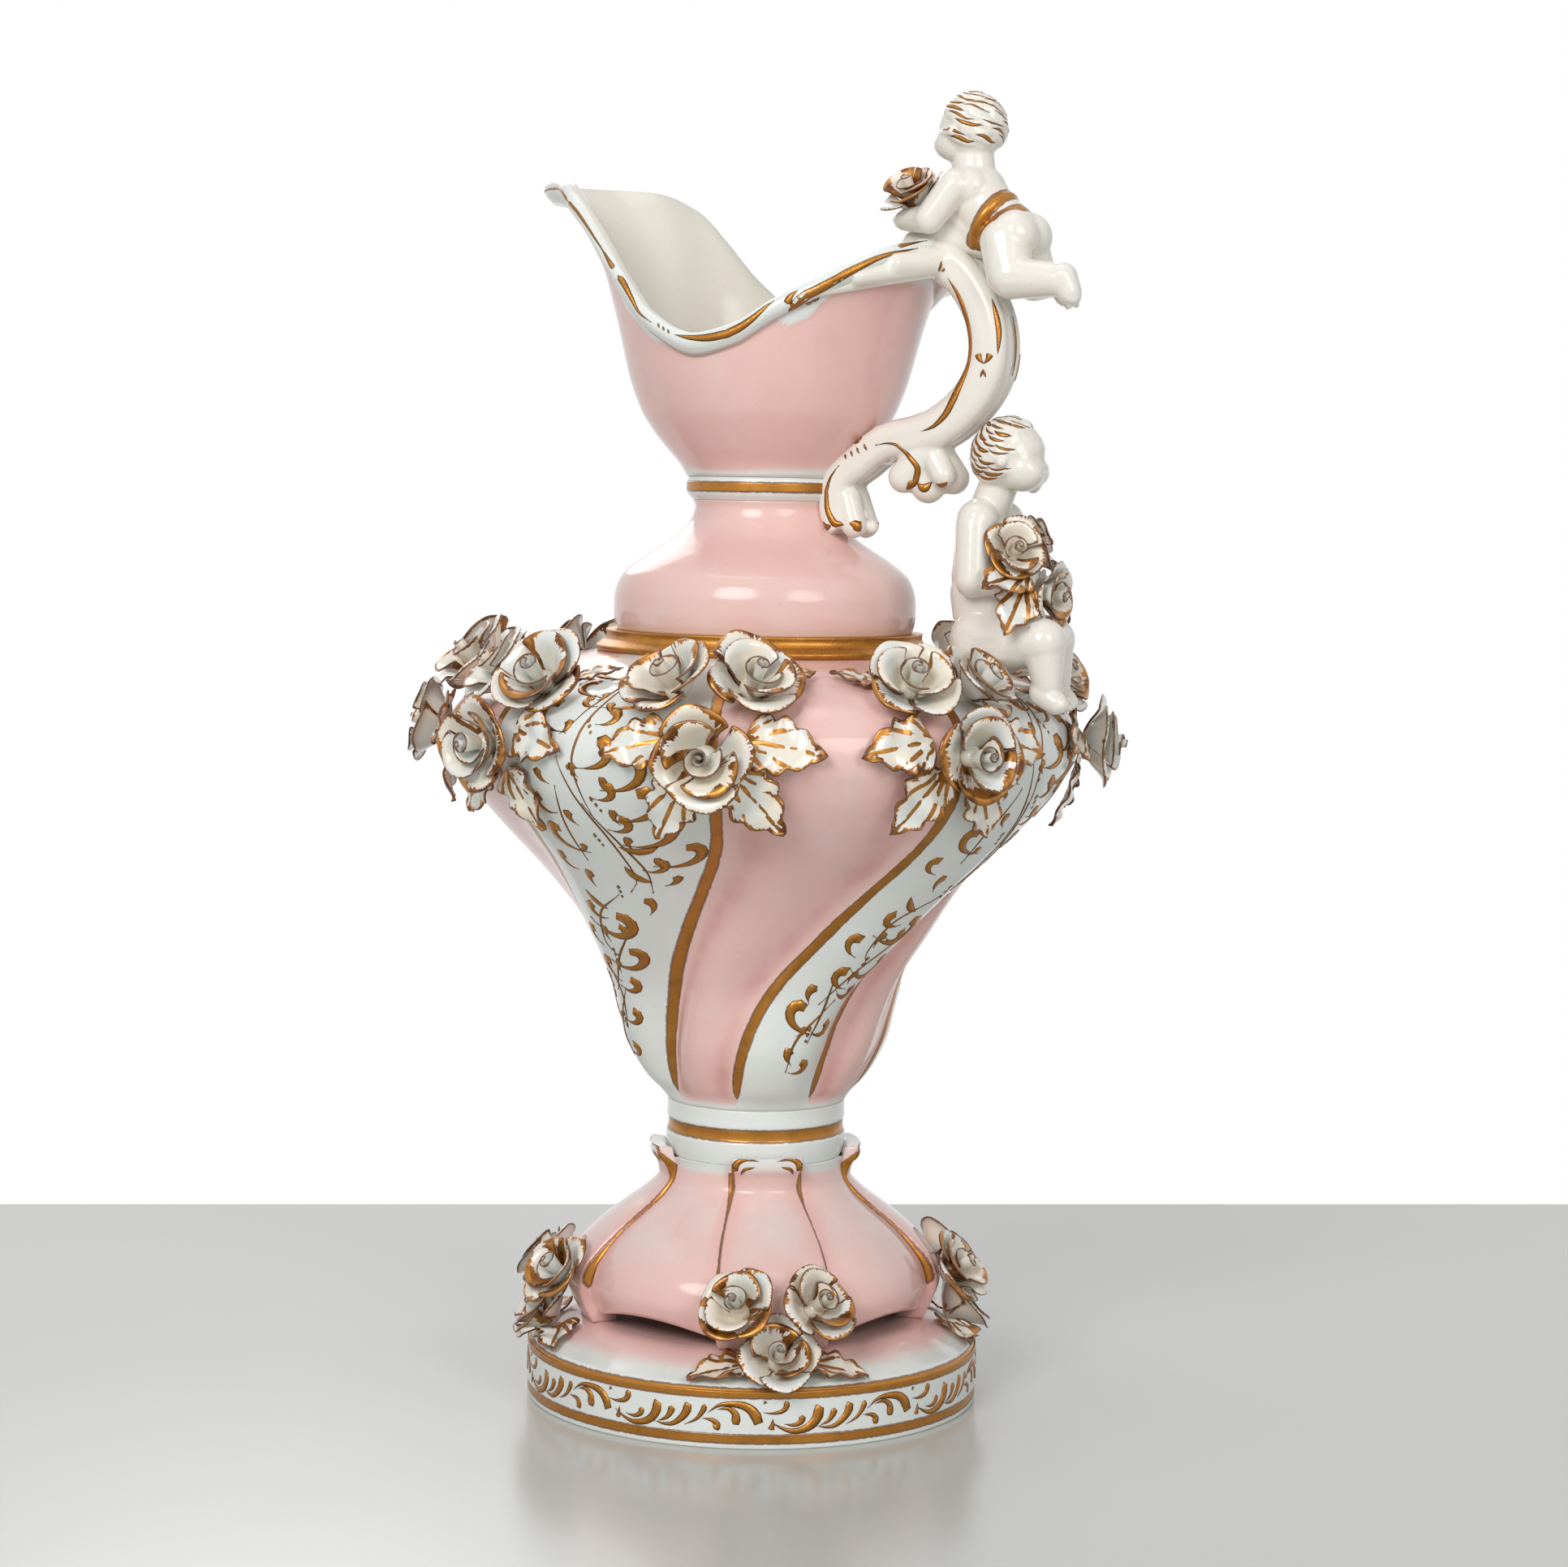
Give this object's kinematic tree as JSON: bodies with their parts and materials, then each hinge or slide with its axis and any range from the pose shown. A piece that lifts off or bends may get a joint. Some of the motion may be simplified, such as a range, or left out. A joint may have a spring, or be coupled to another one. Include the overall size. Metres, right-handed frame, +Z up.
{
  "type": "porcelain jug",
  "caption": "Porcelain baluster jug with a long spout, scroll handle, swirled lobes, sitting and lying cherubs and applied roses on a round plinth.",
  "frame": {"origin": "centre of the flat ring under the plinth that the jug stands on", "axes": "+Z up along the jug's axis, handle and cherubs toward +X, spout toward -X"},
  "size_m": [0.301, 0.2985, 0.5581],
  "materials": {
    "pink_glaze": "glossy pale pink glaze, shaded over white porcelain",
    "white_glaze": "glossy white glaze",
    "ivory_glaze": "glossy ivory glaze with gilt edges",
    "gilding": "fired gilding, satin gold over glaze"
  },
  "bodies": {
    "root": {"plinth": "white_glaze", "foot": "pink_glaze", "stem_collar": "white_glaze", "body": "pink_glaze", "shoulder_ring": "gilding", "neck_bulb": "pink_glaze", "neck_collar": "white_glaze", "mouth": "pink_glaze", "handle": "white_glaze", "upper_cherub": "white_glaze", "lower_cherub": "white_glaze", "upper_cherub_roses": "ivory_glaze", "lower_cherub_roses": "ivory_glaze", "lower_cherub_leaves": "ivory_glaze", "shoulder_roses_1": "ivory_glaze", "shoulder_roses_2": "ivory_glaze", "shoulder_roses_3": "ivory_glaze", "shoulder_roses_4": "ivory_glaze", "shoulder_roses_5": "ivory_glaze", "shoulder_roses_6": "ivory_glaze", "shoulder_roses_7": "ivory_glaze", "shoulder_roses_8": "ivory_glaze", "shoulder_leaves_1": "ivory_glaze", "shoulder_leaves_2": "ivory_glaze", "shoulder_leaves_3": "ivory_glaze", "shoulder_leaves_4": "ivory_glaze", "shoulder_leaves_5": "ivory_glaze", "shoulder_leaves_6": "ivory_glaze", "shoulder_leaves_7": "ivory_glaze", "shoulder_leaves_8": "ivory_glaze", "foot_roses_1": "ivory_glaze", "foot_roses_2": "ivory_glaze", "foot_roses_3": "ivory_glaze", "foot_roses_4": "ivory_glaze", "foot_leaves_1": "ivory_glaze", "foot_leaves_2": "ivory_glaze", "foot_leaves_3": "ivory_glaze", "foot_leaves_4": "ivory_glaze"}
  },
  "joints": []
}
